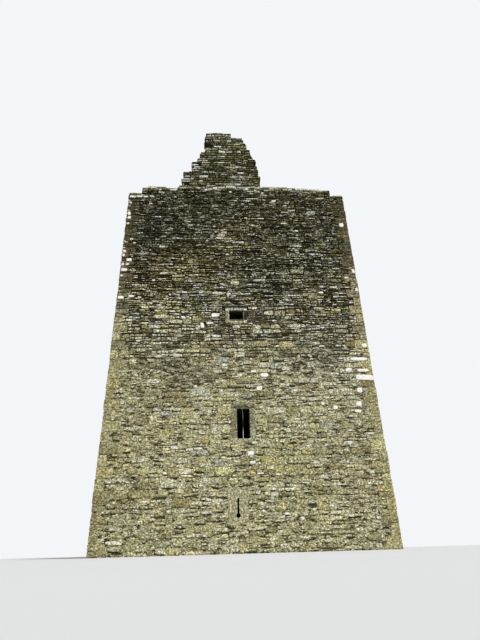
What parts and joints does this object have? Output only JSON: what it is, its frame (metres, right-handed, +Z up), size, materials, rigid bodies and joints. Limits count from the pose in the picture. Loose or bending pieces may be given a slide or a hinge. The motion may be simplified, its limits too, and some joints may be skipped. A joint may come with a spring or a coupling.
{
  "type": "castle keep",
  "caption": "Roofless late-medieval tower house of rubble stone with dressed quoins, narrow windows, gun loops and a broken gable stump with its chimney at each end.",
  "frame": {"origin": "on the ground under the middle of the tower", "axes": "+Z up, the front face looks towards -Y, +X to the right of someone who faces the front"},
  "size_m": [9.89, 13.24, 19.48],
  "materials": {
    "rubble_stone": "coursed rubble of thin slabs with open joints, weathered and lichened",
    "dressed_stone": "tooled sandstone with worn edges",
    "slab_stone": "split flagstones, rough and lichened",
    "timber": "weathered oak",
    "iron": "rusted wrought iron"
  },
  "bodies": {
    "root": {"front_wall": "rubble_stone", "rear_wall": "rubble_stone", "left_wall": "rubble_stone", "right_wall": "rubble_stone", "front_left_quoins": "dressed_stone", "front_right_quoins": "dressed_stone", "rear_left_quoins": "dressed_stone", "rear_right_quoins": "dressed_stone", "front_gable": "rubble_stone", "rear_gable": "rubble_stone", "front_wall_walk": "slab_stone", "rear_wall_walk": "slab_stone", "left_wall_walk": "slab_stone", "right_wall_walk": "slab_stone", "corner_slabs": "slab_stone", "front_hall_window_lintel": "dressed_stone", "front_hall_window_sill": "dressed_stone", "front_hall_window_jambs": "dressed_stone", "front_upper_window_lintel": "dressed_stone", "front_upper_window_sill": "dressed_stone", "front_upper_window_jambs": "dressed_stone", "front_upper_window_drip": "slab_stone", "front_gun_loop_slab": "dressed_stone", "front_gun_loop_lintel": "dressed_stone", "rear_hall_window_lintel": "dressed_stone", "rear_hall_window_sill": "dressed_stone", "rear_hall_window_jambs": "dressed_stone", "rear_upper_window_lintel": "dressed_stone", "rear_upper_window_sill": "dressed_stone", "rear_upper_window_jambs": "dressed_stone", "rear_gun_loop_slab": "dressed_stone", "rear_gun_loop_lintel": "dressed_stone", "side_window_lintels": "dressed_stone", "side_window_sills": "dressed_stone", "side_window_jambs": "dressed_stone", "other_window_drips": "slab_stone", "door_jambs": "dressed_stone", "door_arch": "dressed_stone", "door_threshold": "slab_stone", "basement_paving": "slab_stone", "vault": "rubble_stone", "hall_paving": "slab_stone", "upper_floor_plates": "timber", "upper_floor_joists": "timber", "upper_floor_boards": "timber"}
  },
  "joints": []
}
